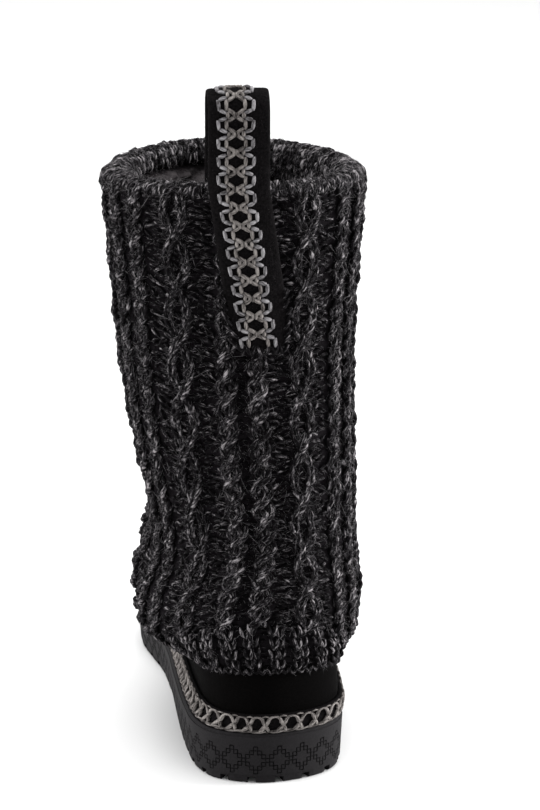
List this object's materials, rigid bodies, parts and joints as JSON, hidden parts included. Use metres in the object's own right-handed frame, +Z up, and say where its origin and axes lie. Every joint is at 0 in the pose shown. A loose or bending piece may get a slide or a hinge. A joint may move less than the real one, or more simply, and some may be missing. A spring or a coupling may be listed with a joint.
{
  "type": "mid-calf boot",
  "caption": "Right mid-calf boot with a rubber unit sole, suede foot, net trim, chunky cable-knit sleeve over the leg and a webbing pull loop at the back collar.",
  "frame": {"origin": "on the floor under the middle of the heel", "axes": "+Z up along the leg, +Y towards the toe, +X to the wearer's right, the outer side of the foot"},
  "size_m": [0.127, 0.2806, 0.3323],
  "materials": {
    "sole_rubber": "matt moulded charcoal rubber",
    "lining_plush": "dark plush pile",
    "suede": "near-black suede nap",
    "trim_net": "grey crochet net on black",
    "marled_yarn": "black yarn flecked with light grey, hairy",
    "webbing": "black velvety webbing with a grey net stripe"
  },
  "bodies": {
    "root": {"outsole": "sole_rubber", "insole": "lining_plush", "upper": "suede", "foot_trim": "trim_net", "knit_sleeve": "marled_yarn", "pull_loop": "webbing"}
  },
  "joints": []
}
